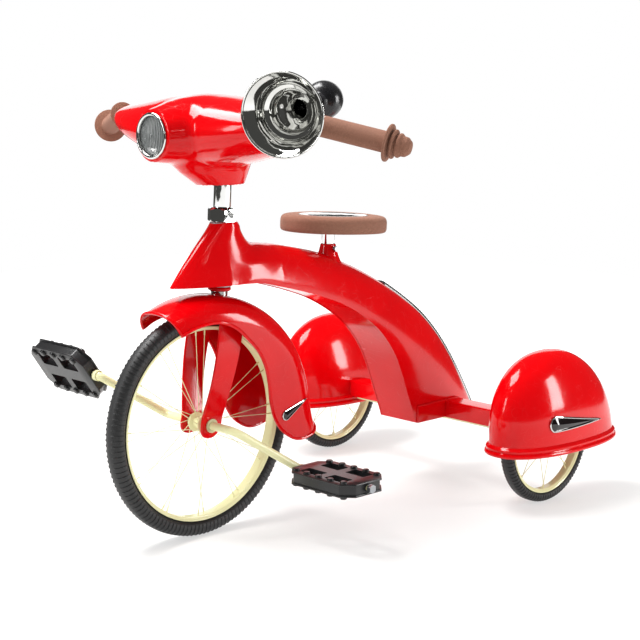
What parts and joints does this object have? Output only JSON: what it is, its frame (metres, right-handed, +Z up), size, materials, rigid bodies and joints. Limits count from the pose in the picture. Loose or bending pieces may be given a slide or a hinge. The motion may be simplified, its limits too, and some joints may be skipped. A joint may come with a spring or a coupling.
{
  "type": "children's tricycle",
  "caption": "Pedal tricycle for a small child with an arched pressed-steel body, domed rear wheel covers, a headlight fairing on the handlebar and a bulb horn.",
  "frame": {"origin": "on the floor, at the middle of the overall box", "axes": "+X forward, +Y to the rider's left, +Z up"},
  "size_m": [0.895, 0.7046, 0.7211],
  "materials": {
    "red_enamel": "glossy stoved enamel",
    "cream_enamel": "satin enamel",
    "chrome": "polished chrome plate",
    "brown_rubber": "matte moulded",
    "tyre_rubber": "matte solid rubber",
    "black_rubber": "satin moulded",
    "clear_glass": "fluted clear",
    "nylon": "natural",
    "plain_steel": "machined",
    "dark_stone": "polished moulded",
    "black_plastic": "moulded semi-gloss"
  },
  "bodies": {
    "frame": {"body_shell": "red_enamel", "belly_plate": "red_enamel", "head_tube": "plain_steel", "head_bush_upper": "nylon", "head_bush_lower": "nylon", "lower_bearing_cup": "red_enamel", "seat_socket": "red_enamel", "seat_set_screw": "plain_steel", "spine_trim": "chrome", "spine_tread": "black_rubber", "rear_axle_beam": "red_enamel", "rear_axle": "cream_enamel", "rear_fender_left": "red_enamel", "rear_drop_bezel_left": "chrome", "rear_drop_stone_left": "dark_stone", "rear_axle_nut_left": "chrome", "rear_fender_right": "red_enamel", "rear_drop_bezel_right": "chrome", "rear_drop_stone_right": "dark_stone", "rear_axle_nut_right": "chrome"},
    "seat": {"seat_post": "chrome", "seat_pan": "brown_rubber", "seat_inlay": "chrome"},
    "steering": {"steerer_tube": "chrome", "fork_crown": "red_enamel", "front_fender": "red_enamel", "head_lock_nut": "chrome", "stem_clamp": "plain_steel", "handlebar_fairing": "red_enamel", "handlebar_tube": "chrome", "headlight_bezel": "chrome", "headlight_lens": "clear_glass", "headlight_reflector": "chrome", "horn_bell": "chrome", "horn_bulb": "black_rubber", "horn_bracket": "chrome", "fork_blade_left": "red_enamel", "fork_bush_left": "nylon", "front_drop_bezel_left": "chrome", "front_drop_stone_left": "dark_stone", "grip_left": "brown_rubber", "fork_blade_right": "red_enamel", "fork_bush_right": "nylon", "front_drop_bezel_right": "chrome", "front_drop_stone_right": "dark_stone", "grip_right": "brown_rubber"},
    "front_wheel": {"front_tyre": "tyre_rubber", "front_rim": "cream_enamel", "front_hub": "cream_enamel", "crank_axle": "cream_enamel", "pedal_nut_left": "plain_steel", "pedal_nut_right": "plain_steel"},
    "pedal_left": {"pedal_left": "black_plastic"},
    "pedal_right": {"pedal_right": "black_plastic"},
    "rear_wheel_left": {"rear_tyre_left": "tyre_rubber", "rear_rim_left": "cream_enamel", "rear_hub_left": "cream_enamel"},
    "rear_wheel_right": {"rear_tyre_right": "tyre_rubber", "rear_rim_right": "cream_enamel", "rear_hub_right": "cream_enamel"}
  },
  "joints": [
    {"name": "steering", "type": "hinge", "parent": "frame", "child": "steering", "pos_m": [0.2398, 0, 0.178], "axis": [-0.0436, 0, 0.999], "range_deg": [-45, 45]},
    {"name": "front_wheel_spin", "type": "hinge", "parent": "steering", "child": "front_wheel", "pos_m": [0.2698, 0, 0.178], "axis": [0, 1, 0], "continuous": true},
    {"name": "pedal_left_spin", "type": "hinge", "parent": "front_wheel", "child": "pedal_left", "pos_m": [0.15658, 0.186, 0.10447], "axis": [0, 1, 0], "continuous": true},
    {"name": "pedal_right_spin", "type": "hinge", "parent": "front_wheel", "child": "pedal_right", "pos_m": [0.38302, -0.186, 0.25153], "axis": [0, 1, 0], "continuous": true},
    {"name": "rear_wheel_left_spin", "type": "hinge", "parent": "frame", "child": "rear_wheel_left", "pos_m": [-0.2782, 0.252, 0.1105], "axis": [0, 1, 0], "continuous": true},
    {"name": "rear_wheel_right_spin", "type": "hinge", "parent": "frame", "child": "rear_wheel_right", "pos_m": [-0.2782, -0.252, 0.1105], "axis": [0, 1, 0], "continuous": true},
    {"name": "seat_height", "type": "slide", "parent": "frame", "child": "seat", "axis": [0, 0, 1], "range_m": [-0.012, 0.04]}
  ]
}
